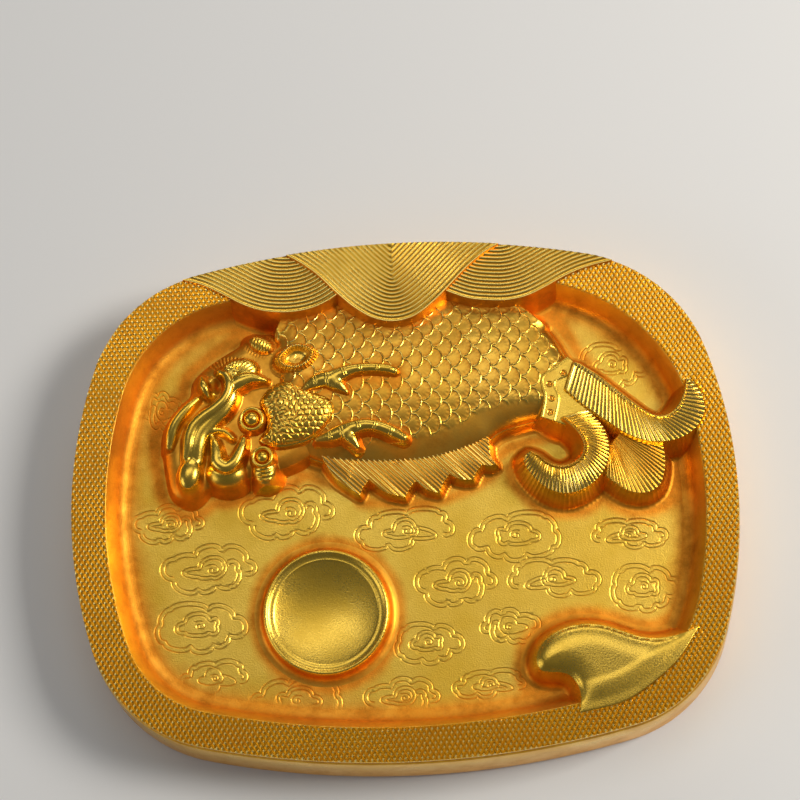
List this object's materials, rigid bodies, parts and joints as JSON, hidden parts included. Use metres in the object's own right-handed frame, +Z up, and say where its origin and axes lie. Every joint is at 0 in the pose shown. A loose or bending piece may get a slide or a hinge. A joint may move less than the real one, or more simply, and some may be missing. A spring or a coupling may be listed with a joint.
{
  "type": "ink stone",
  "caption": "Gilded metal ink stone: rounded tray with hatched rim, shallow ink well, round grinding dish and fish-dragon relief.",
  "frame": {"origin": "centre of the foot, on the surface that the stone stands on", "axes": "+X along the length, +Y to the rear where the waves are, +Z up"},
  "size_m": [0.1744, 0.1394, 0.0219],
  "materials": {
    "gilded_tray": "satin gilding, orange patina in the well's walls",
    "gilded_waves": "satin gilding on combed grooves",
    "gilded_relief": "burnished gilding with orange patina in the recesses",
    "gilded_dish": "burnished gilding"
  },
  "bodies": {
    "root": {"tray": "gilded_tray", "wave_panel_left": "gilded_waves", "wave_panel_middle": "gilded_waves", "wave_panel_right": "gilded_waves", "grinding_dish": "gilded_dish", "wave_tongue": "gilded_dish", "fish_body": "gilded_relief", "belly_fin": "gilded_relief", "head_base": "gilded_relief", "crown_dome": "gilded_relief", "snout_ridge": "gilded_relief", "nostril_bulb": "gilded_relief", "lip_bar": "gilded_relief", "chin_bulb": "gilded_relief", "mouth_curl": "gilded_relief", "cheek_fan": "gilded_relief", "cheek_tuft": "gilded_relief", "ear_shell": "gilded_relief", "eye_socket_upper": "gilded_relief", "eye_socket_lower": "gilded_relief", "eyeball_upper": "gilded_relief", "eyeball_lower": "gilded_relief", "horn_upper": "gilded_relief", "horn_lower": "gilded_relief", "tail_collar": "gilded_relief", "collar_studs": "gilded_relief", "tail_root": "gilded_relief", "tail_lobe_long": "gilded_relief", "tail_lobe_curl": "gilded_relief", "tail_lobe_fan": "gilded_relief"}
  },
  "joints": []
}
